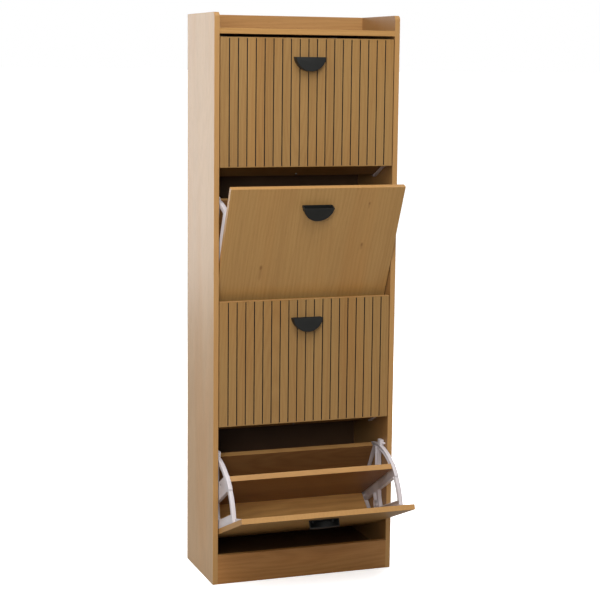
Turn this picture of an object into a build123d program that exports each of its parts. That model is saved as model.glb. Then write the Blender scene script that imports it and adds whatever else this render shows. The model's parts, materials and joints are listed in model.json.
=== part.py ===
from build123d import *
import os
from math import atan2, cos, degrees, radians, sin

# Tall shoe cabinet with four flip-down drawers, two rows of shoes in each.
# Frame: origin on the floor under the middle of the plinth board, X to the right,
# Y towards the wall, Z up. All sizes in millimetres.

# Carcass
cabinet_width = 577.0
cabinet_depth = 282.0
cabinet_height = 1700.0
board = 16.0              # side panels, top, base, plinth and back rail
gallery_height = 45.0     # sides and back rail standing above the top board
gallery_corner = 13.0     # rounding of the side panels' top front corners
plinth_height = 89.0
base_board_top = 54.0
back_thickness = 3.0
back_rebate = 8.0         # how far the back panels reach into the side panels
back_foot_gap = 12.0      # the back panels stop short of the floor
back_strip_lip = 9.0
back_strip_wall = 1.0
edge_round = 0.8

# Fronts
drawer_count = 4
front_thickness = 16.0
front_gap = 9.0
side_gap = 2.5
slatted_drawers = (1, 3)
slat_count = 20
groove_width = 3.0
groove_depth = 3.0
groove_end = 3.0          # plain edging left above and below the grooves

# Tilting
open_angle = 68.0
rest_angles = {1: 0.0, 2: 24.0, 3: 0.0, 4: 68.0}
pivot_setback = 53.8      # pivot behind the front's outer face
pivot_rise = 94.4         # pivot above the front's lower edge
pin_radius = 4.0
pin_clearance = 0.05
pin_flange_radius = 8.0
pin_flange = 2.0
pin_reach = 13.0
stop_peg_radius = 3.5
stop_peg_reach = 8.5
stop_peg_lift = 6.0       # centre of a stop peg outside the brackets' arc
stop_gap = 0.3            # left between a stop and what it stops
fixing_depth = 9.0        # blind holes of pins, pegs, dowels and cam bolts in the side panels

# Side brackets of a drawer
bracket_depth = 12.0
bracket_plate = 2.6
bracket_rib = 2.6
arc_band = 14.0
arc_rear_clearance = 30.2
hub_radius = 17.0
hub_height = 11.0         # centre of the arm that carries the hub, above the pivot
hub_arm_width = 38.0
front_arm_width = 25.0
hook_arm_width = 22.0
hook_arm_angle = 19.0
hook_height = 17.0
hook_width = 36.0
web_ahead = 28.0          # bracket web in front of the divider board
web_behind = 4.0
web_lip = 3.0             # the web stands proud of the arc by this much
board_rim = 3.0           # bracket rim beyond the rear and floor boards
tongue_below_top = 26.85  # the tongue stops short of the front's upper edge
tongue_width = 4.5

# Inner boards of a drawer, in the drawer's own closed position about the pivot
drawer_board = 16.0
divider_lean = 82.3
divider_place = 63.5      # direction from the pivot to the divider's free edge
divider_inset = 4.0
rear_place = 13.2         # direction from the pivot to the rear board's free edge
rear_inset = 12.4
floor_slope = 26.6
floor_rise = 16.4         # floor board above the front's lower edge, at the front

# Handle, a half-round cup with its mouth upwards
handle_width = 94.0
handle_height = 42.0
handle_depth = 24.0
handle_wall = 2.4
handle_below_top = 55.0
handle_round = 2.0
handle_screw_spacing = 64.0
handle_screw_drop = 14.0
handle_boss_radius = 4.5
handle_boss_length = 8.0

# Fasteners
screw_radius = 2.0
screw_head_radius = 3.8
screw_head = 2.4
screw_grip = 22.0
front_screw_grip = 11.0
floor_screw_grip = 30.0
end_screw_shares = (0.22, 0.78)   # screws along the end of a board
front_screw_foot = 26.0   # lowest front screw above the floor board's foot
front_screw_drop = 24.0   # highest front screw below the inside of the arc
boss_radius = 4.6
dowel_radius = 4.0
dowel_length = 28.0
cam_radius = 7.5
cam_height = 12.0
cam_setback = 34.0        # cam centre from the side panel
cam_inset = 60.0          # cams from the front edge and from the back panel
cam_bolt_radius = 3.0
nail_radius = 0.8
nail_length = 14.0
nail_head_radius = 2.4
nail_head = 0.6
nail_spacing = 150.0
nail_margin = 20.0        # end nails from the ends of a back panel
wall_bracket_width = 30.0
wall_bracket_leg = 36.0
wall_bracket_sheet = 2.0
wall_bracket_spacing = 360.0
wall_hole_radius = 2.5
wall_hole_drop = 22.0

# Worked out from the sizes above
inner_half = cabinet_width / 2 - board
front_plane_y = -board / 2
back_plane_y = front_plane_y + cabinet_depth
middle_y = (front_plane_y + back_plane_y) / 2
board_back_y = back_plane_y - back_thickness
top_board_top = cabinet_height - gallery_height
top_board_bottom = top_board_top - board
front_height = (top_board_bottom - plinth_height - (drawer_count + 1) * front_gap) / drawer_count
front_half = inner_half - side_gap
board_half = front_half - bracket_depth
arc_outer = cabinet_depth - back_thickness - pivot_setback - arc_rear_clearance
arc_inner = arc_outer - arc_band
stop_peg_height = arc_outer + stop_peg_lift
front_inner = front_thickness - pivot_setback
front_bottom = -pivot_rise
front_top = front_height - pivot_rise
tongue_top = front_top - tongue_below_top
back_joint_height = (top_board_top + base_board_top) / 2

os.makedirs("parts", exist_ok=True)


def save(piece, name):
    piece.part.label = name
    export_step(piece.part, f"parts/{name}.step")


def polar(radius, angle):
    return (radius * cos(radians(angle)), radius * sin(radians(angle)))


def shifted(point, distance, angle):
    return (point[0] + distance * cos(radians(angle)), point[1] + distance * sin(radians(angle)))


def crossing(point_a, angle_a, point_b, angle_b):
    """Where two lines meet, each given by a point on it and its direction."""
    across = sin(radians(angle_b - angle_a))
    gap_x = point_b[0] - point_a[0]
    gap_y = point_b[1] - point_a[1]
    run = (gap_x * sin(radians(angle_b)) - gap_y * cos(radians(angle_b))) / across
    return shifted(point_a, run, angle_a)


def pivot_height(number):
    """Height of a drawer's pivot, drawer 1 being the top one."""
    below = drawer_count - number
    return plinth_height + front_gap + below * (front_height + front_gap) + pivot_rise


def panel_plane(x):
    """Side view plane of the carcass: local x runs to the wall, local y up."""
    return Plane(origin=(x, 0, 0), x_dir=(0, 1, 0), z_dir=(1, 0, 0))


def drawer_side(number, x):
    """Side view plane of a drawer at its rest tilt, centred on its pivot."""
    tilt = radians(rest_angles[number])
    origin = (x, front_plane_y + pivot_setback, pivot_height(number))
    return Plane(origin=origin, x_dir=(0, cos(tilt), sin(tilt)), z_dir=(1, 0, 0))


def drawer_face(number, inward):
    """Front view plane of a drawer, set inward from its outer face, at pivot height."""
    side = drawer_side(number, 0)
    origin = side.origin + side.x_dir * (inward - pivot_setback)
    return Plane(origin=origin, x_dir=(1, 0, 0), z_dir=-side.x_dir)


# Profiles of the inner boards, as seen from the drawer's side
floor_under_front = (front_inner, front_bottom + floor_rise)
floor_top_front = (front_inner, floor_under_front[1] + drawer_board / cos(radians(floor_slope)))
divider_top = polar(arc_outer - divider_inset, divider_place)
divider_top_back = shifted(divider_top, drawer_board, divider_lean - 90)
divider_foot = crossing(divider_top, divider_lean, floor_top_front, -floor_slope)
board_joint = crossing(divider_top_back, divider_lean, floor_top_front, -floor_slope)
floor_under_back = crossing(divider_top_back, divider_lean, floor_under_front, -floor_slope)
rear_top = polar(arc_outer - rear_inset, rear_place)
rear_lean = degrees(atan2(rear_top[1] - board_joint[1], rear_top[0] - board_joint[0]))
rear_top_back = shifted(rear_top, drawer_board, rear_lean - 90)
rear_foot_back = shifted(board_joint, drawer_board, rear_lean - 90)

board_outlines = {
    "divider_board": (divider_top, divider_top_back, board_joint, divider_foot),
    "rear_board": (rear_top, rear_top_back, rear_foot_back, board_joint),
    "floor_board": (floor_under_front, floor_top_front, board_joint, floor_under_back),
}


def middle(points):
    return (sum(p[0] for p in points) / len(points), sum(p[1] for p in points) / len(points))


def between(start, end, share):
    return (start[0] + (end[0] - start[0]) * share, start[1] + (end[1] - start[1]) * share)


def end_screw_points(outline):
    """Two screw positions on the centre line of a board's end."""
    start = middle(outline[:2])
    end = middle(outline[2:])
    return [between(start, end, share) for share in end_screw_shares]


screw_points = {name: end_screw_points(outline) for name, outline in board_outlines.items()}
all_screw_points = [point for points in screw_points.values() for point in points]
floor_screw_point = crossing(middle((divider_foot, board_joint)), 90 - floor_slope,
                             floor_under_front, -floor_slope)
front_screw_heights = (front_bottom + floor_rise + front_screw_foot, hub_height + hub_arm_width,
                       arc_inner - front_screw_drop)

# Fixings in the side panels
cam_places = [front_plane_y + cam_inset, board_back_y - cam_inset]
cam_centres = [(x, y) for x in (cam_setback - inner_half, inner_half - cam_setback) for y in cam_places]
cam_heights = [top_board_bottom + board / 2, base_board_top - board / 2]
dowel_points = [
    (middle_y, cam_heights[0]),
    (middle_y, cam_heights[1]),
    (board_back_y - board / 2, top_board_top + gallery_height / 4),
    (board_back_y - board / 2, top_board_top + gallery_height * 3 / 4),
    (front_plane_y + board / 2, plinth_height / 4),
    (front_plane_y + board / 2, plinth_height * 3 / 4),
]
cam_bolt_points = [(y, z) for z in cam_heights for y in cam_places]
pivot_y = front_plane_y + pivot_setback
drawer_numbers = range(1, drawer_count + 1)
pivot_points = [(pivot_y, pivot_height(n)) for n in drawer_numbers]
stop_peg_y = pivot_y + front_inner + stop_gap + stop_peg_radius
stop_points = [(stop_peg_y, pivot_height(n) + stop_peg_height) for n in drawer_numbers]


def discs(plane, points, radius):
    """Equal round profiles at the given places of a plane, for rods and holes."""
    with BuildSketch(plane) as profile:
        with Locations(*points):
            Circle(radius)
    return profile.sketch


# ---- Carcass ----
for name, side in (("side_panel_left", -1), ("side_panel_right", 1)):
    with BuildPart() as panel:
        with BuildSketch(panel_plane(side * inner_half)):
            with Locations((middle_y, cabinet_height / 2)):
                Rectangle(cabinet_depth, cabinet_height)
        extrude(amount=side * board)
        corner = panel.edges().filter_by(Axis.X).group_by(Axis.Z)[-1].sort_by(Axis.Y)[0]
        fillet(corner, gallery_corner)
        front_edges = panel.faces().sort_by(Axis.Y)[0].edges().filter_by(Axis.Z)
        fillet(front_edges, edge_round)
        with BuildSketch(Plane.XY):
            with Locations((side * inner_half, back_plane_y)):
                Rectangle(2 * back_rebate, 2 * back_thickness)
        extrude(amount=cabinet_height, mode=Mode.SUBTRACT)
        for points, radius in ((pivot_points, pin_radius), (stop_points, stop_peg_radius),
                               (dowel_points, dowel_radius), (cam_bolt_points, cam_bolt_radius)):
            holes = discs(panel_plane(side * inner_half), points, radius)
            extrude(holes, amount=side * fixing_depth, mode=Mode.SUBTRACT)
    save(panel, name)


def cross_board(name, low, high, dowels, bolts):
    """A board between the side panels, given by its corners in side view."""
    with BuildPart() as piece:
        with BuildSketch(panel_plane(-inner_half)):
            with Locations(((low[0] + high[0]) / 2, (low[1] + high[1]) / 2)):
                Rectangle(high[0] - low[0], high[1] - low[1])
        extrude(amount=2 * inner_half)
        fillet(piece.faces().sort_by(Axis.Y)[0].edges().filter_by(Axis.X), edge_round)
        for x, way in ((-inner_half, 1), (inner_half, -1)):
            dowel_holes = discs(panel_plane(x), dowels, dowel_radius)
            extrude(dowel_holes, amount=way * (dowel_length - fixing_depth), mode=Mode.SUBTRACT)
            if bolts:
                bolt_holes = discs(panel_plane(x), bolts, cam_bolt_radius)
                extrude(bolt_holes, amount=way * cam_setback, mode=Mode.SUBTRACT)
        if bolts:
            cam_holes = discs(Plane.XY.offset(low[1]), cam_centres, cam_radius)
            extrude(cam_holes, amount=cam_height, mode=Mode.SUBTRACT)
    save(piece, name)


cross_board("top_board", (front_plane_y, top_board_bottom), (board_back_y, top_board_top),
            dowel_points[0:1], cam_bolt_points[0:2])
cross_board("base_board", (front_plane_y + board, base_board_top - board),
            (board_back_y, base_board_top), dowel_points[1:2], cam_bolt_points[2:4])
cross_board("back_rail", (board_back_y - board, top_board_top), (board_back_y, cabinet_height),
            dowel_points[2:4], None)
cross_board("plinth_board", (front_plane_y, 0), (front_plane_y + board, plinth_height),
            dowel_points[4:6], None)

# Back panels, joined by a T-shaped strip
back_half = cabinet_width / 2 - board + back_rebate
back_spans = {
    "back_panel_lower": (back_foot_gap, back_joint_height - back_strip_wall / 2),
    "back_panel_upper": (back_joint_height + back_strip_wall / 2, cabinet_height),
}
nail_places = []
back_face = Plane.XZ.offset(-back_plane_y)
wall_hole_places = [(side * wall_bracket_spacing / 2, top_board_bottom - wall_hole_drop) for side in (-1, 1)]
for name, (low, high) in back_spans.items():
    row_count = int((high - low - 2 * nail_margin) / nail_spacing) + 1
    rows = [low + nail_margin + i * nail_spacing for i in range(row_count)]
    nail_places += [(side * (inner_half + back_rebate / 2), z) for z in rows for side in (-1, 1)]
    with BuildPart() as panel:
        with BuildSketch(back_face):
            with Locations((0, (low + high) / 2)):
                Rectangle(2 * back_half, high - low)
        extrude(amount=back_thickness)
        for radius, depth in ((nail_radius, back_thickness), (nail_head_radius, nail_head)):
            here = [(x, z) for x, z in nail_places if low < z < high]
            extrude(discs(back_face, here, radius), amount=depth, mode=Mode.SUBTRACT)
        if name == "back_panel_upper":
            wall_holes = discs(back_face, wall_hole_places, wall_hole_radius)
            extrude(wall_holes, amount=back_thickness, mode=Mode.SUBTRACT)
    save(panel, name)

with BuildPart() as joint_strip:
    with BuildSketch(panel_plane(-inner_half)):
        with Locations((board_back_y + back_thickness / 2, back_joint_height)):
            Rectangle(back_thickness, back_strip_wall)
        with Locations((board_back_y - back_strip_wall / 2, back_joint_height)):
            Rectangle(back_strip_wall, 2 * back_strip_lip)
    extrude(amount=2 * inner_half)
save(joint_strip, "back_joint_strip")

with BuildPart() as nails:
    extrude(discs(back_face, nail_places, nail_radius), amount=nail_length)
    extrude(discs(back_face, nail_places, nail_head_radius), amount=nail_head)
save(nails, "back_panel_nails")

# Steel angles that tie the top to the wall
with BuildPart() as angles:
    for x in (-wall_bracket_spacing / 2, wall_bracket_spacing / 2):
        with BuildSketch(panel_plane(x - wall_bracket_width / 2)):
            with BuildLine():
                Polyline((board_back_y, top_board_bottom),
                         (board_back_y - wall_bracket_leg, top_board_bottom),
                         (board_back_y - wall_bracket_leg, top_board_bottom - wall_bracket_sheet),
                         (board_back_y - wall_bracket_sheet, top_board_bottom - wall_bracket_sheet),
                         (board_back_y - wall_bracket_sheet, top_board_bottom - wall_bracket_leg),
                         (board_back_y, top_board_bottom - wall_bracket_leg), close=True)
            make_face()
        extrude(amount=wall_bracket_width)
    wall_holes = discs(Plane.XZ.offset(-board_back_y), wall_hole_places, wall_hole_radius)
    extrude(wall_holes, amount=wall_bracket_sheet, mode=Mode.SUBTRACT)
save(angles, "wall_brackets")

# Carcass fixings, each kind a group of equal pieces
with BuildPart() as dowels:
    for side in (-1, 1):
        ends = discs(panel_plane(side * (inner_half + fixing_depth)), dowel_points, dowel_radius)
        extrude(ends, amount=-side * dowel_length)
save(dowels, "wood_dowels")

with BuildPart() as bolts:
    for side in (-1, 1):
        ends = discs(panel_plane(side * (inner_half + fixing_depth)), cam_bolt_points, cam_bolt_radius)
        extrude(ends, amount=-side * (fixing_depth + cam_setback - cam_radius))
save(bolts, "cam_bolts")

with BuildPart() as cams:
    for low in (top_board_bottom, base_board_top - board):
        extrude(discs(Plane.XY.offset(low), cam_centres, cam_radius), amount=cam_height)
save(cams, "cam_locks")


# ---- Pivots and stops, fixed in the side panels ----
with BuildPart() as pins:
    for side in (-1, 1):
        shanks = discs(panel_plane(side * (inner_half + fixing_depth)), pivot_points, pin_radius)
        extrude(shanks, amount=-side * (fixing_depth + pin_reach))
        flanges = discs(panel_plane(side * inner_half), pivot_points, pin_flange_radius)
        extrude(flanges, amount=-side * pin_flange)
save(pins, "pivot_pins")

with BuildPart() as pegs:
    for side in (-1, 1):
        ends = discs(panel_plane(side * (inner_half + fixing_depth)), stop_points, stop_peg_radius)
        extrude(ends, amount=-side * (fixing_depth + stop_peg_reach))
save(pegs, "stop_pegs")


# ---- Drawers ----
def front_panel(number):
    with BuildPart() as front:
        with BuildSketch(drawer_face(number, 0)):
            with Locations((0, (front_bottom + front_top) / 2)):
                Rectangle(2 * front_half, front_height)
        extrude(amount=-front_thickness)
        outer_face = front.faces().sort_by(Axis((0, 0, 0), drawer_face(number, 0).z_dir))[-1]
        fillet(outer_face.edges(), edge_round)
        if number in slatted_drawers:
            with BuildSketch(drawer_face(number, 0)):
                with Locations((0, (front_bottom + front_top) / 2)):
                    with GridLocations(2 * front_half / slat_count, 0, slat_count - 1, 1):
                        Rectangle(groove_width, front_height - 2 * groove_end)
            extrude(amount=-groove_depth, mode=Mode.SUBTRACT)
        inside = drawer_face(number, front_thickness)
        handle_holes = discs(inside, handle_screw_points, screw_radius)
        extrude(handle_holes, amount=front_thickness, mode=Mode.SUBTRACT)
        pilot_holes = discs(inside, front_screw_points, screw_radius)
        extrude(pilot_holes, amount=front_screw_grip, mode=Mode.SUBTRACT)
    save(front, f"front_panel_{number}")


handle_top = front_top - handle_below_top
handle_screw_points = [(side * handle_screw_spacing / 2, handle_top - handle_screw_drop) for side in (-1, 1)]
bracket_middle = board_half + (bracket_depth - bracket_plate) / 2
front_screw_points = [(side * bracket_middle, z) for side in (-1, 1) for z in front_screw_heights]


def half_moon(plane, width, height, top):
    """Outline of the handle: flat on top, an arc below."""
    with BuildSketch(plane) as profile:
        with BuildLine():
            Line((-width / 2, top), (width / 2, top))
            ThreePointArc((width / 2, top), (0, top - height), (-width / 2, top))
        make_face()
    return profile.sketch


def handle(number):
    with BuildPart() as cup:
        extrude(half_moon(drawer_face(number, 0), handle_width, handle_height, handle_top), amount=handle_depth)
        outer_face = cup.faces().sort_by(Axis((0, 0, 0), drawer_face(number, 0).z_dir))[-1]
        fillet(outer_face.edges().filter_by(GeomType.CIRCLE), handle_round)
        hollow = half_moon(drawer_face(number, -handle_wall), handle_width - 2 * handle_wall,
                           handle_height - handle_wall, handle_top)
        extrude(hollow, amount=handle_depth - 2 * handle_wall, mode=Mode.SUBTRACT)
        bosses = discs(drawer_face(number, 0), handle_screw_points, handle_boss_radius)
        extrude(bosses, amount=handle_boss_length)
        holes = discs(drawer_face(number, 0), handle_screw_points, screw_radius)
        extrude(holes, amount=handle_boss_length - handle_wall, mode=Mode.SUBTRACT)
    save(cup, f"handle_{number}")


def handle_screws(number):
    inside = drawer_face(number, front_thickness)
    with BuildPart() as screws:
        shanks = discs(inside, handle_screw_points, screw_radius)
        extrude(shanks, amount=front_thickness + handle_boss_length - handle_wall)
        extrude(discs(inside, handle_screw_points, screw_head_radius), amount=-screw_head)
    save(screws, f"handle_screws_{number}")


def floor_screw_plane(number):
    """Plane on the floor board's underside, facing down, at the screw into the divider."""
    side = drawer_side(number, 0)
    origin = side.from_local_coords(Vector(*floor_screw_point))
    down = side.from_local_coords(Vector(*shifted(floor_screw_point, 1, -90 - floor_slope))) - origin
    return Plane(origin=origin, x_dir=(1, 0, 0), z_dir=down)


def inner_board(number, name):
    with BuildPart() as piece:
        with BuildSketch(drawer_side(number, -board_half)):
            with BuildLine():
                Polyline(*board_outlines[name], close=True)
            make_face()
        extrude(amount=2 * board_half)
        for x, way in ((-board_half, 1), (board_half, -1)):
            pilot_holes = discs(drawer_side(number, x), screw_points[name], screw_radius)
            extrude(pilot_holes, amount=way * screw_grip, mode=Mode.SUBTRACT)
        if name != "rear_board":
            floor_hole = discs(floor_screw_plane(number), [(0, 0)], screw_radius)
            extrude(floor_hole, amount=-floor_screw_grip, mode=Mode.SUBTRACT)
    save(piece, f"{name}_{number}")


def strip(start, end, width):
    """A straight arm of the bracket."""
    run = ((end[0] - start[0]) ** 2 + (end[1] - start[1]) ** 2) ** 0.5
    with Locations(middle((start, end))):
        Rectangle(run, width, rotation=degrees(atan2(end[1] - start[1], end[0] - start[0])))


rim_under = shifted(floor_under_front, board_rim, -90 - floor_slope)
rim_behind = shifted(rear_top_back, board_rim, rear_lean - 90)
bracket_corner = crossing(rim_under, -floor_slope, rim_behind, rear_lean)
bracket_start = crossing(rim_under, -floor_slope, (front_inner, 0), 90)
arc_begin = shifted(rim_behind, arc_outer - (rim_behind[0] ** 2 + rim_behind[1] ** 2) ** 0.5,
                    degrees(atan2(rim_behind[1], rim_behind[0])))
web_width = web_ahead + drawer_board + web_behind
web_top = shifted(divider_top, web_width / 2 - web_ahead, divider_lean - 90)
hook_top = arc_outer + hook_height
hook_angle = degrees(atan2(stop_peg_height, stop_peg_y - pivot_y)) - open_angle
hook_reach = (stop_peg_radius + stop_gap) / stop_peg_height
hook_end = hook_angle - degrees(hook_reach)
hook_start = hook_end - degrees(hook_width / 2 / arc_outer)


def bracket_outline(inset):
    """Outer boundary of a bracket in side view, drawn in by the inset."""
    arc_end = (front_inner, (arc_outer ** 2 - front_inner ** 2) ** 0.5)
    with BuildSketch() as outline:
        with BuildLine():
            Polyline(arc_end, bracket_start, bracket_corner, arc_begin)
            ThreePointArc(arc_begin, polar(arc_outer, divider_place), arc_end)
        make_face()
        if inset > 0:
            offset(amount=-inset, kind=Kind.INTERSECTION, mode=Mode.REPLACE)
    return outline.sketch


def web_tab(inset):
    """The head of the web behind the divider board, where it thickens the arc."""
    with BuildSketch() as tab:
        strip(shifted(web_top, -2 * arc_band, divider_lean), shifted(web_top, arc_band, divider_lean),
              web_width - 2 * inset)
        Circle(arc_outer + web_lip - inset, mode=Mode.INTERSECT)
        Circle(arc_inner + inset, mode=Mode.SUBTRACT)
    return tab.sketch


def bracket_face(plane, inset):
    """Side view of a bracket: the arc, hub, arms and the webs behind the board ends."""
    rear_width = drawer_board + board_rim + web_behind
    rear_start = shifted(board_joint, rear_width / 2 - web_behind, rear_lean - 90)
    floor_start = shifted(floor_under_front, rear_width / 2 - board_rim, 90 - floor_slope)
    front_x = front_inner + front_arm_width / 2
    hub = (0, hub_height)
    with BuildSketch(plane) as profile:
        Circle(arc_outer)
        Circle(arc_inner + inset, mode=Mode.SUBTRACT)
        Circle(hub_radius - inset)
        strip(shifted(web_top, -2 * arc_outer, divider_lean), web_top, web_width - 2 * inset)
        strip(rear_start, shifted(rear_start, 2 * arc_outer, rear_lean), rear_width - 2 * inset)
        strip(shifted(floor_start, -arc_outer, -floor_slope),
              shifted(floor_start, 2 * arc_outer, -floor_slope), rear_width - 2 * inset)
        strip((front_x, rim_under[1]), (front_x, arc_outer), front_arm_width - 2 * inset)
        strip((front_inner, hub_height), (divider_foot[0], hub_height), hub_arm_width - 2 * inset)
        strip(hub, shifted(hub, arc_outer, hook_arm_angle), hook_arm_width - 2 * inset)
        add(bracket_outline(inset), mode=Mode.INTERSECT)
        add(web_tab(inset))
    return profile.sketch


def hook_lug(plane):
    """The lug standing out of the arc that meets the stop peg."""
    with BuildSketch(plane) as profile:
        with BuildLine():
            Polyline(polar(arc_inner + bracket_rib, hook_start), polar(hook_top, hook_start),
                     polar(hook_top, hook_end), polar(arc_inner + bracket_rib, hook_end), close=True)
        make_face()
    return profile.sketch


def bracket_pockets(plane):
    """The hollows between a bracket's ribs, with the screw bosses left standing."""
    with BuildSketch(plane) as profile:
        add(bracket_face(Plane.XY, bracket_rib))
        with Locations(*all_screw_points):
            Circle(boss_radius, mode=Mode.SUBTRACT)
        Circle(pin_radius + 2 * bracket_rib, mode=Mode.SUBTRACT)
    return profile.sketch


def tongue(plane):
    """The wedge that carries the bracket further up the front."""
    with BuildSketch(plane) as profile:
        with BuildLine():
            Polyline((front_inner, arc_inner), (front_inner + front_arm_width / 2, arc_inner),
                     (front_inner + bracket_rib, tongue_top), (front_inner, tongue_top), close=True)
        make_face()
    return profile.sketch


def side_bracket(number, side):
    """One bracket: a plate against the side panel with ribs and bosses facing inwards."""
    outer = drawer_side(number, side * front_half)
    inner = drawer_side(number, side * board_half)
    with BuildPart() as bracket:
        extrude(bracket_face(outer, 0), amount=-side * bracket_depth)
        extrude(hook_lug(outer), amount=-side * bracket_depth)
        extrude(bracket_pockets(inner), amount=side * (bracket_depth - bracket_plate), mode=Mode.SUBTRACT)
        extrude(tongue(inner), amount=side * tongue_width)
        screw_holes = discs(outer, all_screw_points, screw_radius)
        extrude(screw_holes, amount=-side * bracket_depth, mode=Mode.SUBTRACT)
        head_seats = discs(outer, all_screw_points, screw_head_radius)
        extrude(head_seats, amount=-side * screw_head, mode=Mode.SUBTRACT)
        bore = discs(outer, [(0, 0)], pin_radius + pin_clearance)
        extrude(bore, amount=-side * bracket_depth, mode=Mode.SUBTRACT)
        own_screws = [point for point in front_screw_points if point[0] * side > 0]
        front_holes = discs(drawer_face(number, front_thickness), own_screws, screw_radius)
        extrude(front_holes, amount=-bracket_rib, mode=Mode.SUBTRACT)
    hand = {-1: "left", 1: "right"}[side]
    save(bracket, f"bracket_{hand}_{number}")


def drawer_screws(number):
    """The screws through both brackets into the boards and the front, and the floor screw."""
    rib_face = drawer_face(number, front_thickness + bracket_rib)
    under = floor_screw_plane(number)
    with BuildPart() as screws:
        for side in (-1, 1):
            outer = drawer_side(number, side * front_half)
            extrude(discs(outer, all_screw_points, screw_radius), amount=-side * (bracket_depth + screw_grip))
            extrude(discs(outer, all_screw_points, screw_head_radius), amount=-side * screw_head)
        extrude(discs(rib_face, front_screw_points, screw_radius), amount=bracket_rib + front_screw_grip)
        extrude(discs(rib_face, front_screw_points, screw_head_radius), amount=-screw_head)
        extrude(discs(under, [(0, 0)], screw_radius), amount=-floor_screw_grip)
        extrude(discs(under, [(0, 0)], screw_head_radius), amount=screw_head)
    save(screws, f"drawer_screws_{number}")


for number in drawer_numbers:
    front_panel(number)
    handle(number)
    handle_screws(number)
    for name in board_outlines:
        inner_board(number, name)
    for side in (-1, 1):
        side_bracket(number, side)
    drawer_screws(number)
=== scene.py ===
import json
from math import cos, pi, radians, sin

import bmesh
import bpy
import numpy as np
from mathutils import Matrix, Vector


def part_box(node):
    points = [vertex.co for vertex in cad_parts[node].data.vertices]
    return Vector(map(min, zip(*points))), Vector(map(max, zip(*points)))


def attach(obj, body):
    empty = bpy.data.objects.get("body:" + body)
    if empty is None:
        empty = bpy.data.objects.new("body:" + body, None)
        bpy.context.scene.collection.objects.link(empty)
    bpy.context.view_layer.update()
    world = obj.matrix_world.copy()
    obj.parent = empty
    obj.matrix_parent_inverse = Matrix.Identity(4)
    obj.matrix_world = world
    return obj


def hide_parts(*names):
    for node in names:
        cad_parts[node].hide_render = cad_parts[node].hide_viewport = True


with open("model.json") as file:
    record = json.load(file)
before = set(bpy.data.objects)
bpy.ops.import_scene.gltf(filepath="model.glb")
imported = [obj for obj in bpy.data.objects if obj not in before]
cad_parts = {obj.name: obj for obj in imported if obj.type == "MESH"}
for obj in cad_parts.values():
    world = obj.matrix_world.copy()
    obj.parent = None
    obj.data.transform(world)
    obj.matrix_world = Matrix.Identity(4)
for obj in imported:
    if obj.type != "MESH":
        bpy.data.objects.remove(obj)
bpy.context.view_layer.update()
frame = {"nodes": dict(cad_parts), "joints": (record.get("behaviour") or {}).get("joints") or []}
nodes = frame["nodes"]
scene = bpy.context.scene

# The cabinet in metres: the origin is on the floor under the middle of the plinth board
side_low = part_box("side_panel_left")[0]
front_line = side_low.y
drawer_numbers = (1, 2, 3, 4)
slatted_drawers = (1, 3)
slat_count = 20
front_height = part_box("front_panel_1")[1].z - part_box("front_panel_1")[0].z
front_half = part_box("front_panel_1")[1].x
slat_pitch = 2.0 * front_half / slat_count
groove_width = 0.003
groove_shade_spill = 0.0003     # the painted groove shade runs a little over the grooves' edges
# width of the painted highlight along each slat's edge
slat_highlight_width = 0.0007
inner_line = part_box("top_board")[1].x
pivots = {joint["child"]: Vector(joint["pos_m"]) for joint in frame["joints"]}
tilts = {joint["child"]: radians(-joint["range_deg"][0]) for joint in frame["joints"]}
pivot_rise = pivots["drawer_1"].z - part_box("front_panel_1")[0].z


# ---- Finishes ----
class Socket:
    """One socket of a finish's node tree, so that sums on it are written as plain expressions."""

    def __init__(self, finish, socket):
        self.finish = finish
        self.socket = socket

    def maths(self, operation, *values):
        node = self.finish.add("ShaderNodeMath", {"operation": operation}, *values)
        return node[0]

    def __add__(self, other):
        return self.maths("ADD", self, other)

    def __radd__(self, other):
        return self.maths("ADD", other, self)

    def __sub__(self, other):
        return self.maths("SUBTRACT", self, other)

    def __rsub__(self, other):
        return self.maths("SUBTRACT", other, self)

    def __mul__(self, other):
        return self.maths("MULTIPLY", self, other)

    def __rmul__(self, other):
        return self.maths("MULTIPLY", other, self)

    def __truediv__(self, other):
        return self.maths("DIVIDE", self, other)

    def __rtruediv__(self, other):
        return self.maths("DIVIDE", other, self)

    def __pow__(self, other):
        return self.maths("POWER", self, other)

    def __gt__(self, other):
        return self.maths("GREATER_THAN", self, other)

    def __lt__(self, other):
        return self.maths("LESS_THAN", self, other)

    def floor(self):
        return self.maths("FLOOR", self)

    def part(self):
        """What is left after the whole number."""
        return self.maths("FRACT", self)

    def size(self):
        return self.maths("ABSOLUTE", self)

    def root(self):
        return self.maths("SQRT", self)

    def clear_of(self, low, high):
        """0 below low and 1 above high, with a soft step between."""
        node = self.finish.add("ShaderNodeMapRange", {"interpolation_type": "SMOOTHSTEP"},
                               self, low, high, 0.0, 1.0)
        return node[0]


class Outputs:
    """The outputs of a node, picked by name or number."""

    def __init__(self, finish, node):
        self.finish = finish
        self.node = node

    def __getitem__(self, key):
        return Socket(self.finish, self.node.outputs[key])


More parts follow.
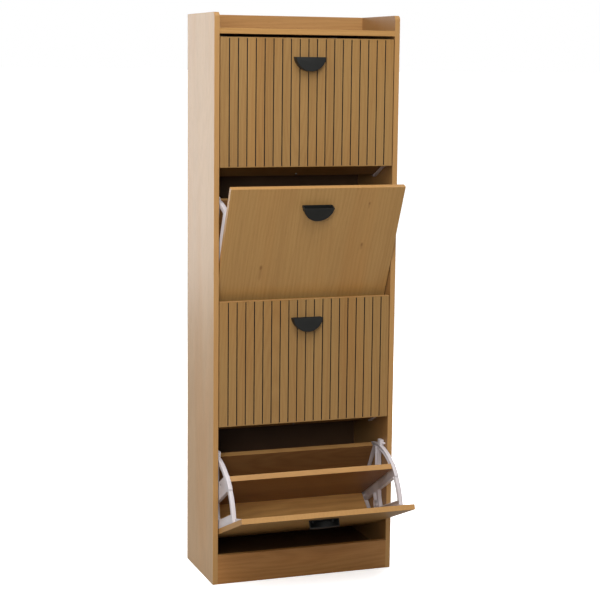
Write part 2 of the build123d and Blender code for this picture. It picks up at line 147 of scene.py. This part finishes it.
class Finish:
    """A material whose nodes are added one at a time."""

    def __init__(self, name):
        self.material = bpy.data.materials.new(name)
        self.material.use_nodes = True
        self.tree = self.material.node_tree
        self.tree.nodes.clear()
        self.shader = self.tree.nodes.new("ShaderNodeBsdfPrincipled")
        self.output = self.tree.nodes.new("ShaderNodeOutputMaterial")
        self.tree.links.new(self.shader.outputs["BSDF"], self.output.inputs["Surface"])

    def plug(self, socket, value):
        if isinstance(value, Socket):
            self.tree.links.new(value.socket, socket)
        else:
            socket.default_value = value

    def add(self, kind, settings, *values, **named):
        """Adds a node: its settings first, then its sockets in order or by name."""
        node = self.tree.nodes.new(kind)
        for key, setting in settings.items():
            if key == "stops":
                self.set_stops(node.color_ramp, setting)
            else:
                setattr(node, key, setting)
        for socket, value in zip(node.inputs, values):
            self.plug(socket, value)
        for key, value in named.items():
            self.plug(node.inputs[key.replace("_", " ")], value)
        return Outputs(self, node)

    def set_stops(self, ramp, stops):
        while len(ramp.elements) < len(stops):
            ramp.elements.new(1.0)
        for element, (place, colour) in zip(ramp.elements, stops):
            element.position = place
            element.color = (*colour, 1.0)

    def place(self):
        """The point of the surface, in the object's own frame."""
        return self.add("ShaderNodeTexCoord", {})["Object"]

    def turned(self, point, centre, angle):
        """The point turned about a line along X through the centre."""
        settings = {"rotation_type": "X_AXIS"}
        return self.add("ShaderNodeVectorRotate", settings, Vector=point, Center=centre, Angle=angle)[0]

    def split(self, point):
        parts = self.add("ShaderNodeSeparateXYZ", {}, point)
        return parts[0], parts[1], parts[2]

    def join(self, x, y, z):
        return self.add("ShaderNodeCombineXYZ", {}, x, y, z)[0]

    def noise(self, point, scale, detail=2.0, roughness=0.5):
        settings = {"noise_dimensions": "3D"}
        return self.add("ShaderNodeTexNoise", settings, Vector=point, Scale=scale, Detail=detail,
                        Roughness=roughness)[0]

    def chance(self, value):
        """A random number from 0 to 1 that belongs to the value."""
        return self.add("ShaderNodeTexWhiteNoise", {"noise_dimensions": "1D"}, W=value)["Value"]

    def ramp(self, value, stops):
        return self.add("ShaderNodeValToRGB", {"stops": stops}, value)["Color"]

    def blend(self, share, first, second, mode="MIX"):
        """The first colour, going over to the second where the share is 1."""
        mix = self.add("ShaderNodeMix", {"data_type": "RGBA", "blend_type": mode}, share)
        for socket, colour in zip(mix.node.inputs[6:8], (first, second)):
            self.plug(socket, colour if isinstance(colour, Socket) else (*colour, 1.0))
        return mix[2]

    def relief(self, height, distance, strength=1.0):
        """Raises the surface by the height, which runs from 0 to 1, times the distance."""
        bump = self.add("ShaderNodeBump", {}, Strength=strength, Distance=distance, Height=height)
        self.tree.links.new(bump["Normal"].socket, self.shader.inputs["Normal"])

    def surface(self, **sockets):
        for key, value in sockets.items():
            self.plug(self.shader.inputs[key.replace("_", " ")], value)


def shaded(tone, shares):
    """The tone with each channel taken times its share."""
    return tuple(channel * share for channel, share in zip(tone, shares))


def figure_of(finish, across, depth, along, seed):
    """Figure of flat-sawn oak: year rings that arch round the heart, bands, lines and pores."""
    rings_per_metre = 85.0
    heart = 0.11 * sin(seed * 1.7)
    lean = 0.10 + 0.03 * sin(seed)
    drift = finish.noise(finish.join(across * 4.0 + seed, depth * 4.0, along * 1.6), 1.0, 3.0)
    rise = along * lean + 0.03 * sin(seed * 2.3)
    ripple = finish.noise(finish.join(across * 34.0, depth * 34.0 + seed, along * 3.5), 1.0, 2.0)
    radius = ((across - heart) ** 2.0 + rise ** 2.0).root() + (drift - 0.5) * 0.07 + (ripple - 0.5) * 0.02
    rings = 1.0 - ((radius * rings_per_metre).part() - 0.5).size() * 2.0
    band_point = finish.join(across * 13.0 + drift * 2.0 + seed, depth * 13.0, along * 0.6)
    bands = finish.noise(band_point, 1.0, 3.0, 0.55)
    line_point = finish.join(across * 260.0 + drift * 20.0, depth * 260.0 + seed, along * 5.0)
    lines = finish.noise(line_point, 1.0, 3.0, 0.65)
    pore_point = finish.join(across * 1100.0, depth * 1100.0 + seed, along * 34.0)
    pores = finish.noise(pore_point, 1.0, 2.0, 0.5)
    return bands, rings, lines, pores


def knot(finish, x, height, place, size, tail):
    """How near a point is to a knot: 1 at its heart, 0 from its rim on, with a faint streak below."""
    aside = (x - place[0]) / size
    away = (aside ** 2.0 + ((height - place[1]) / (size * 1.6)) ** 2.0).root()
    core = 1.0 - away.clear_of(0.2, 1.2)
    below = place[1] - height
    width_share = 1.0 - aside.size().clear_of(0.2, 1.2)
    length_share = below.clear_of(0.0, size)
    streak = width_share * length_share * (1.0 - below.clear_of(tail * 0.6, tail))
    return core + (1.0 - core) * streak * 0.4


def slat_masks(finish, x, y, z, body):
    """Where a slatted front's grooves get their painted shade, and where its slats' edges get a painted
    highlight.
    """
    low = pivots[body].z - pivot_rise
    end_margin = 0.0026
    slatted = (x.size() < front_half - 0.004) * (z > low + end_margin) * (z < low + front_height - end_margin)
    slatted = slatted * (1.0 - (y - front_line).clear_of(0.0034, 0.0038))
    place = ((x + front_half) / slat_pitch).part()
    from_middle = (0.5 - (place - 0.5).size()) * slat_pitch
    groove_shade = from_middle < 0.5 * groove_width + groove_shade_spill
    slat_highlight = from_middle < 0.5 * groove_width + groove_shade_spill + slat_highlight_width
    return groove_shade * slatted, slat_highlight * slatted


def facing_of(finish, broad):
    """How far the surface faces the given direction: 1 on a board's front, -1 on its back."""
    normal = finish.add("ShaderNodeTexCoord", {})["Normal"]
    dot = finish.add("ShaderNodeVectorMath", {"operation": "DOT_PRODUCT"}, normal, tuple(broad))
    return dot["Value"]


def oak(name, grain, tone, broad, seed=0.0, body=None, slatted=False, knots=(), figure=1.0,
        inside=None, back_shade=1.0, shine=0.5):
    """Oak veneer under a satin lacquer: grain along X or Z, edging on the edges of the board.

    A side panel gets a darker tone inside the cabinet as painted shade, and a board may get a darker far side
    as painted shade.
    """
    finish = Finish(name)
    point = finish.place()
    broad = Vector(broad)
    if body:
        broad = Matrix.Rotation(tilts[body], 3, "X") @ broad
        point = finish.turned(point, pivots[body], -tilts[body])
    x, y, z = finish.split(point)
    across, along = (x, z) if grain == "Z" else (z, x)
    if body:
        across, along = (x, z - pivots[body].z) if grain == "Z" else (z - pivots[body].z, x)
    bands, rings, lines, pores = figure_of(finish, across, y, along, seed)
    value = 0.5 + (bands - 0.5) * 0.7 * figure + (rings - 0.5) * bands * 0.4 * figure + (lines - 0.5) * 0.5
    if slatted:
        slat = ((x + front_half) / slat_pitch).floor()
        value = value + (finish.chance(slat + seed) - 0.5) * 0.16
    dark = shaded(tone, (0.74, 0.67, 0.58))
    light = shaded(tone, (1.16, 1.22, 1.28))
    colour = finish.ramp(value, [(0.1, dark), (0.5, tone), (0.9, light)])
    ruddy = finish.noise(finish.join(across * 9.0 + seed, y * 9.0, along * 1.5), 1.0, 1.0)
    colour = finish.blend(ruddy.clear_of(0.45, 0.7) * 0.7, colour, ruddy_tint, "MULTIPLY")
    # painted shade: the side panel's inner faces take a darker tone
    if inside:
        share = [new / old for new, old in zip(inside, tone)]
        colour = finish.blend(x.size() < inner_line + 0.0005, colour, share, "MULTIPLY")
    facing = facing_of(finish, broad)
    # painted shade: the board's far side is darkened
    if back_shade < 1.0:
        colour = finish.blend(facing < 0.0, colour, (back_shade, back_shade, back_shade), "MULTIPLY")
    banding = finish.ramp(value, [(0.1, shaded(edge_tone, (0.84, 0.8, 0.74))),
                                  (0.9, shaded(edge_tone, (1.1, 1.13, 1.17)))])
    colour = finish.blend(1.0 - facing.size().clear_of(0.5, 0.7), colour, banding)
    fleck = pores.clear_of(0.60, 0.72)
    colour = finish.blend(fleck * 0.22, colour, shaded(dark, (0.4, 0.4, 0.4)))
    if slatted:
        groove_shade, slat_highlight = slat_masks(finish, x, y, z, body)
        # painted highlight: the slats' edges are lightened
        colour = finish.blend(slat_highlight, colour, slat_highlight_tint, "MULTIPLY")
        # painted shade: the grooves are coloured near-black
        colour = finish.blend(groove_shade, colour, groove_shade_tone)
    for place, size, tail in knots:
        near = knot(finish, x, z - (pivots[body].z - pivot_rise), place, size, tail)
        colour = finish.blend(near * 0.6, colour, shaded(dark, (0.5, 0.34, 0.28)))
    finish.surface(Base_Color=colour, Roughness=0.42 + (lines - 0.5) * 0.14 + fleck * 0.1,
                   Specular_IOR_Level=shine)
    finish.surface(IOR=1.46)
    finish.relief(lines * 0.5 + pores * 0.5, 0.00008)
    return finish.material


def linear(red, green, blue):
    """A colour given in everyday 0-255 values, made linear."""
    return tuple((channel / 255.0) ** 2.2 for channel in (red, green, blue))


# painted light: the side panels' outer faces get a paler tone than the other boards, standing in for the
# sheen of light on them
side_sheen_tone = (0.63, 0.415, 0.23)
front_tone = (0.41, 0.228, 0.075)
# painted shade: the base board's dark tone stands in for the shade under the lowest drawer
base_shade_tone = (0.15, 0.075, 0.028)
plinth_tone = (0.45, 0.21, 0.062)
# painted light: the drawer floors get a lighter tone than the fronts, standing in for the light falling into
# the open drawers
drawer_floor_lit_tone = (0.66, 0.35, 0.115)
# painted shade: the drawers' dividers and rear boards get a darker tone than the fronts, for the shade inside
# the drawers
divider_shade_tone = (0.26, 0.125, 0.042)
rail_tone = (0.45, 0.245, 0.088)
# painted shade: near-black colour laid in the slatted fronts' grooves, where shade falls
groove_shade_tone = (0.014, 0.008, 0.006)
edge_tone = (0.53, 0.285, 0.098)
ruddy_tint = (1.0, 0.90, 0.78)
# painted highlight: lightens the slats' edges, where light catches them
slat_highlight_tint = (1.30, 1.34, 1.38)
# painted shade: the side panels' inner faces get this darker tone
inside_side_shade_tone = (0.34, 0.18, 0.062)
# painted shade: darkens the back panel's faces inside the cabinet
back_panel_inner_shade = (0.30, 0.27, 0.24)
top_shine = 0.12      # the top board is duller, or it glares at a low angle


def white_moulding(name):
    """White moulded plastic with a faint sparkle-fine grain."""
    finish = Finish(name)
    point = finish.place()
    grain = finish.noise(point, 1400.0, 2.0)
    cloud = finish.noise(point, 18.0, 2.0)
    colour = finish.ramp(cloud, [(0.3, (0.64, 0.59, 0.605)), (0.7, (0.70, 0.65, 0.665))])
    finish.surface(Base_Color=colour, Roughness=0.36 + (grain - 0.5) * 0.14)
    finish.relief(grain, 0.00006)
    return finish.material


def black_coat(name):
    """Matt black powder coat with its fine orange-peel grain."""
    finish = Finish(name)
    point = finish.place()
    grain = finish.noise(point, 1100.0, 3.0)
    cloud = finish.noise(point, 30.0, 2.0)
    colour = finish.ramp(cloud, [(0.3, (0.005, 0.0055, 0.0045)), (0.7, (0.008, 0.0085, 0.007))])
    finish.surface(Base_Color=colour, Roughness=0.58 + (grain - 0.5) * 0.2)
    finish.relief(grain, 0.0001)
    return finish.material


def zinc(name, tint):
    """Zinc-plated steel, cloudy and lightly scratched."""
    finish = Finish(name)
    point = finish.place()
    cloud = finish.noise(point, 160.0, 3.0)
    fine = finish.noise(point, 2600.0, 2.0)
    dull = tuple(channel * 0.72 for channel in tint)
    colour = finish.ramp(cloud, [(0.3, dull), (0.7, tint)])
    finish.surface(Base_Color=colour, Roughness=0.3 + cloud * 0.2, Metallic=1.0)
    finish.relief(fine, 0.00003)
    return finish.material


def hardboard(name):
    """Thin pressed fibreboard, brown, with short matted fibres."""
    finish = Finish(name)
    point = finish.place()
    x, y, z = finish.split(point)
    fibres = finish.noise(finish.join(x * 420.0, y * 420.0, z * 900.0), 1.0, 4.0, 0.65)
    cloud = finish.noise(point, 9.0, 3.0)
    browns = [(0.3, linear(118, 84, 54)), (0.5, linear(146, 108, 72)), (0.72, linear(172, 134, 94))]
    colour = finish.ramp(fibres * 0.7 + cloud * 0.3, browns)
    # painted shade: every face but the outer rear face is darkened, for the shade inside the cabinet
    colour = finish.blend(facing_of(finish, (0, 1, 0)) < 0.5, colour, back_panel_inner_shade, "MULTIPLY")
    finish.surface(Base_Color=colour, Roughness=0.62 + (fibres - 0.5) * 0.3)
    finish.relief(fibres, 0.0002)
    return finish.material


def dress(node, material):
    slots = nodes[node].data.materials
    slots.clear()
    slots.append(material)


# each board: its lean in degrees, its tone, and how dark its far side is made as painted shade
drawer_boards = {
    "divider_board": (82.3, divider_shade_tone, 1.0),
    "rear_board": (52.5, divider_shade_tone, 1.0),
    "floor_board": (-26.6, drawer_floor_lit_tone, 0.3),
}
front_light_shares = {1: 0.93, 2: 1.2, 3: 0.88, 4: 1.0}    # painted light: each front is made lighter or darker than the front tone for how the light falls on it
plain_front_knots = {
    2: [((-0.144, 0.113), 0.006, 0.05), ((0.164, 0.183), 0.005, 0.02), ((0.164, 0.323), 0.004, 0.02)],
    4: [((-0.1, 0.15), 0.004, 0.03)],
}
for side, side_seed in (("left", 3.0), ("right", 11.0)):
    dress(f"side_panel_{side}", oak(f"oak_side_{side}", "Z", side_sheen_tone, (1, 0, 0), side_seed, figure=0.4,
                                    inside=inside_side_shade_tone))
dress("top_board", oak("oak_top", "X", rail_tone, (0, 0, 1), 21.0, shine=top_shine))
dress("base_board", oak("oak_base", "X", base_shade_tone, (0, 0, 1), 23.0))
dress("back_rail", oak("oak_rail", "X", rail_tone, (0, 1, 0), 27.0))
dress("plinth_board", oak("oak_plinth", "X", plinth_tone, (0, 1, 0), 31.0, figure=1.3))
board_back = hardboard("back_hardboard")
for name in ("back_panel_lower", "back_panel_upper"):
    dress(name, board_back)
white = white_moulding("white_moulding")
plated = zinc("zinc_plating", (0.72, 0.72, 0.71))
cast = zinc("cast_zinc", (0.52, 0.52, 0.53))
black = black_coat("black_coat")
for name in ("back_joint_strip", "stop_pegs"):
    dress(name, white)
for name in ("back_panel_nails", "wall_brackets", "cam_bolts", "pivot_pins"):
    dress(name, plated)
dress("cam_locks", cast)
dress("wood_dowels", oak("beech_dowel", "X", linear(208, 172, 126), (1, 0, 0), 41.0))
for number in drawer_numbers:
    body = f"drawer_{number}"
    seed = 50.0 + 9.0 * number
    tone = shaded(front_tone, [front_light_shares[number]] * 3)
    dress(f"front_panel_{number}", oak(f"oak_front_{number}", "Z", tone, (0, 1, 0), seed, body,
                                      number in slatted_drawers, plain_front_knots.get(number, ()), 0.75))
    for name, (lean, tone, back_shade) in drawer_boards.items():
        broad = (0, -sin(radians(lean)), cos(radians(lean)))
        dress(f"{name}_{number}", oak(f"oak_{name}_{number}", "X", tone, broad, seed + lean, body,
                                      figure=1.6, back_shade=back_shade))
    dress(f"handle_{number}", black)
    for name in ("handle_screws", "drawer_screws"):
        dress(f"{name}_{number}", plated)
    for name in ("bracket_left", "bracket_right"):
        dress(f"{name}_{number}", white)


# ---- Pieces made in finer detail than their plain solids ----
def loose_solids(node):
    """The separate solids of a node, each as an array of its points."""
    mesh = bmesh.new()
    mesh.from_mesh(nodes[node].data)
    bmesh.ops.remove_doubles(mesh, verts=mesh.verts, dist=1e-5)
    waiting = set(mesh.verts)
    solids = []
    while waiting:
        reached = [waiting.pop()]
        for vert in reached:
            near = {edge.other_vert(vert) for edge in vert.link_edges} & waiting
            waiting -= near
            reached.extend(near)
        solids.append(np.array([vert.co for vert in reached]))
    mesh.free()
    return sorted(solids, key=lambda points: tuple(points.mean(axis=0).round(4)))


def axis_of(points):
    """Middle and direction of a round solid, looking from its widest end into it."""
    centre = points.mean(axis=0)
    sway, ways = np.linalg.eigh(np.cov((points - centre).T))
    lone = int(np.argmax([min(abs(sway[i] - sway[j]) for j in range(3) if j != i) for i in range(3)]))
    way = ways[:, lone]
    run = (points - centre) @ way
    wide = np.linalg.norm(points - centre - np.outer(run, way), axis=1)
    rim = run[wide > 0.99 * wide.max()]
    if abs(run.min() - rim.mean()) > abs(run.max() - rim.mean()):
        way, run = -way, -run
    start = centre + way * run.min()
    return Vector(start), Vector(way), run.max() - run.min(), wide


def turned_solid(name, profile, material, recess=None):
    """A round solid from a profile of (radius, depth), with an optional cross recess in its top."""
    mesh = bmesh.new()
    sides = 28
    rings = []
    for radius, depth in profile:
        if radius == 0:
            rings.append([mesh.verts.new((0, 0, depth))])
            continue
        turns = [2 * pi * i / sides for i in range(sides)]
        rings.append([mesh.verts.new((radius * cos(t), radius * sin(t), depth)) for t in turns])
    for upper, lower in zip(rings, rings[1:]):
        for i in range(sides):
            j = (i + 1) % sides
            if len(lower) == 1:
                mesh.faces.new((upper[i], upper[j], lower[0]))
            else:
                mesh.faces.new((upper[i], upper[j], lower[j], lower[i]))
    if len(rings[-1]) > 1:
        mesh.faces.new(rings[-1])
    if recess:
        cut_cross(mesh, rings[0], *recess)
    else:
        mesh.faces.new(rings[0])
    bmesh.ops.recalc_face_normals(mesh, faces=mesh.faces)
    return finished(name, mesh, material)


def cut_cross(mesh, rim, reach, half_width, depth):
    """Fills the top inside its rim, leaving a cross-shaped recess that narrows downwards."""
    corners = []
    for quarter in range(4):
        turn = Matrix.Rotation(quarter * pi / 2, 2)
        for point in ((reach, -half_width), (reach, half_width), (half_width, half_width)):
            corners.append(turn @ Vector(point))
    top = [mesh.verts.new((x, y, rim[0].co.z)) for x, y in corners]
    foot = [mesh.verts.new((x * 0.7, y * 0.7, rim[0].co.z + depth)) for x, y in corners]
    count = len(corners)
    outline = [mesh.edges.new((top[i], top[(i + 1) % count])) for i in range(count)]
    ring = [mesh.edges.get((rim[i], rim[(i + 1) % len(rim)])) for i in range(len(rim))]
    bmesh.ops.triangle_fill(mesh, use_beauty=True, edges=outline + ring)
    for i in range(count):
        j = (i + 1) % count
        mesh.faces.new((top[i], top[j], foot[j], foot[i]))
    mesh.faces.new(foot)


def finished(name, mesh, material):
    """Turns a mesh into an object with smooth round faces and crisp edges."""
    data = bpy.data.meshes.new(name)
    mesh.to_mesh(data)
    mesh.free()
    piece = bpy.data.objects.new(name, data)
    scene.collection.objects.link(piece)
    data.materials.append(material)
    data.shade_smooth()
    data.set_sharp_from_angle(angle=radians(32.0))
    return piece


def joined(name, pieces, material):
    """Joins pieces of one node into one object."""
    mesh = bmesh.new()
    for piece in pieces:
        piece.data.transform(piece.matrix_basis)
        mesh.from_mesh(piece.data)
        bpy.data.objects.remove(piece)
    return finished(name, mesh, material)


def screw(name, points, material):
    """A cross-head screw with a rounded head and a threaded shank, in the place of a plain one."""
    start, way, length, wide = axis_of(points)
    head = wide.max()
    shank = wide.min()
    head_depth = 0.0024
    pitch = 0.0018
    root = shank * 0.74
    profile = [(head * 0.72, 0.0), (head * 0.9, head_depth * 0.12), (head, head_depth * 0.4),
               (head, head_depth), (shank * 0.8, head_depth)]
    for turn in range(int((length - head_depth - 2 * pitch) / pitch)):
        depth = head_depth + (turn + 0.5) * pitch
        profile += [(root, depth), (shank, depth + 0.5 * pitch)]
    profile += [(root, length - pitch), (shank * 0.2, length)]
    piece = turned_solid(name, profile, material, (head * 0.56, head * 0.12, head_depth * 0.7))
    piece.matrix_basis = Matrix.Translation(start) @ way.to_track_quat("Z", "Y").to_matrix().to_4x4()
    return piece


def cam_lock(name, points, material):
    """A cam lock as it shows from below: a chamfered disc with a cross recess and a turned rim."""
    low = points.min(axis=0)
    high = points.max(axis=0)
    radius = 0.5 * (high[0] - low[0])
    height = high[2] - low[2]
    chamfer = 0.0006
    profile = [(radius * 0.62, chamfer), (radius * 0.68, 0.0), (radius * 0.92, 0.0), (radius, chamfer),
               (radius, height * 0.35), (radius * 0.9, height * 0.4), (radius * 0.9, height * 0.75),
               (radius, height * 0.8), (radius, height - chamfer), (radius * 0.9, height)]
    piece = turned_solid(name, profile, material, (radius * 0.46, radius * 0.1, height * 0.25))
    piece.matrix_basis = Matrix.Translation((0.5 * (low[0] + high[0]), 0.5 * (low[1] + high[1]), low[2]))
    return piece


def eased_copy(node, width, material):
    """A copy of a node whose sharp edges are rounded over, as moulding or casting leaves them."""
    mesh = bmesh.new()
    mesh.from_mesh(nodes[node].data)
    bmesh.ops.remove_doubles(mesh, verts=mesh.verts, dist=1e-5)
    bmesh.ops.dissolve_limit(mesh, angle_limit=radians(0.6), verts=mesh.verts, edges=mesh.edges)
    sharp = [edge for edge in mesh.edges if edge.is_manifold and edge.calc_face_angle(0.0) > radians(30.0)]
    bmesh.ops.bevel(mesh, geom=sharp, offset=width, segments=2, profile=0.5, affect="EDGES",
                    clamp_overlap=True)
    return finished(f"eased_{node}", mesh, material)


def stand_in(piece, node, body):
    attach(piece, body)
    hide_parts(node)


soft_edge = 0.0006
handle_edge = 0.0005
steel = zinc("blued_steel", (0.30, 0.29, 0.28))
for number in drawer_numbers:
    body = f"drawer_{number}"
    for kind in ("handle_screws", "drawer_screws"):
        node = f"{kind}_{number}"
        group = [screw(f"screw_{i}", points, steel) for i, points in enumerate(loose_solids(node))]
        stand_in(joined(f"cross_head_{node}", group, steel), node, body)
    for kind in ("bracket_left", "bracket_right"):
        node = f"{kind}_{number}"
        stand_in(eased_copy(node, soft_edge, white), node, body)
    stand_in(eased_copy(f"handle_{number}", handle_edge, black), f"handle_{number}", body)
group = [cam_lock(f"cam_{i}", points, cast) for i, points in enumerate(loose_solids("cam_locks"))]
stand_in(joined("cross_slot_cams", group, cast), "cam_locks", "carcass")
stand_in(eased_copy("stop_pegs", soft_edge, white), "stop_pegs", "carcass")
stand_in(eased_copy("pivot_pins", soft_edge, plated), "pivot_pins", "carcass")
stand_in(eased_copy("wall_brackets", soft_edge, plated), "wall_brackets", "carcass")


# ---- Studio ----
def flat_sheet(name, width, depth):
    """A level sheet of floor."""
    sheet = bmesh.new()
    corners = ((-width, -depth), (width, -depth), (width, depth), (-width, depth))
    sheet.faces.new([sheet.verts.new((x, y, -0.0005)) for x, y in corners])
    mesh = bpy.data.meshes.new(name)
    sheet.to_mesh(mesh)
    sheet.free()
    floor = bpy.data.objects.new(name, mesh)
    scene.collection.objects.link(floor)
    return floor


floor = flat_sheet("studio_floor", 400.0, 400.0)
floor_finish = Finish("studio_floor")
seen = floor_finish.add("ShaderNodeLightPath", {})["Is Camera Ray"]
floor_colour = floor_finish.blend(seen, (0.34, 0.33, 0.32), (0.95, 0.95, 0.95))
floor_finish.surface(Base_Color=floor_colour, Roughness=1.0)
glow = floor_finish.blend(seen, (0.0, 0.0, 0.0), (0.62, 0.62, 0.62))
floor_finish.surface(Specular_IOR_Level=0.0, Emission_Color=glow, Emission_Strength=1.0)
floor.data.materials.append(floor_finish.material)

world = bpy.data.worlds.new("studio")
scene.world = world
world.use_nodes = True
sky = world.node_tree.nodes["Background"]
seen = world.node_tree.nodes.new("ShaderNodeLightPath")
strength = world.node_tree.nodes.new("ShaderNodeMapRange")
strength.inputs["To Min"].default_value = 0.2
strength.inputs["To Max"].default_value = 1.0
world.node_tree.links.new(seen.outputs["Is Camera Ray"], strength.inputs["Value"])
world.node_tree.links.new(strength.outputs["Result"], sky.inputs["Strength"])
sky.inputs["Color"].default_value = (1.0, 1.0, 1.0, 1.0)


def soft_lamp(name, place, target, size, power):
    data = bpy.data.lights.new(name, "AREA")
    data.shape = "RECTANGLE"
    data.size, data.size_y = size
    data.energy = power
    lamp = bpy.data.objects.new(name, data)
    lamp.location = place
    lamp.rotation_mode = "QUATERNION"
    lamp.rotation_quaternion = (Vector(target) - Vector(place)).to_track_quat("-Z", "Y")
    scene.collection.objects.link(lamp)


sun_data = bpy.data.lights.new("overhead_lamp", "SUN")
sun_data.energy = 1.3
sun_data.angle = radians(50.0)
sun = bpy.data.objects.new("overhead_lamp", sun_data)
sun.rotation_euler = (radians(16.0), radians(-10.0), 0.0)
scene.collection.objects.link(sun)
soft_lamp("key_lamp", (-1.7, front_line - 3.2, 2.0), (0.0, front_line, 1.1), (1.4, 1.4), 45.0)
soft_lamp("high_lamp", (-0.3, front_line - 2.2, 3.4), (0.0, front_line, 0.9), (1.4, 1.4), 32.0)
soft_lamp("side_lamp", (-3.0, front_line - 0.6, 2.3), (-0.3, front_line + 0.14, 1.2), (1.4, 1.4), 17.0)
soft_lamp("rear_lamp", (2.6, front_line + 2.8, 2.2), (0.2, front_line + 0.14, 0.9), (1.6, 1.6), 90.0)
soft_lamp("sheen_lamp", (-1.6, front_line + 4.04, 1.5), (-0.3, front_line + 0.14, 1.0), (1.5, 2.6), 42.0)

# ---- Camera ----
camera_data = bpy.data.cameras.new("camera")
camera = bpy.data.objects.new("camera", camera_data)
scene.collection.objects.link(camera)
scene.camera = camera
camera_yaw, camera_pitch, camera_roll = radians(19.76), radians(8.26), radians(0.62)
camera_data.sensor_width = 36.0
camera_data.lens = 97.07
camera.location = (-1.6375, front_line - 4.5046, 1.5513)
look = Vector((sin(camera_yaw) * cos(camera_pitch), cos(camera_yaw) * cos(camera_pitch), -sin(camera_pitch)))
camera.rotation_mode = "QUATERNION"
roll = Matrix.Rotation(camera_roll, 3, "Z").to_quaternion()
camera.rotation_quaternion = look.to_track_quat("-Z", "Y") @ roll
scene.view_settings.view_transform = "Standard"
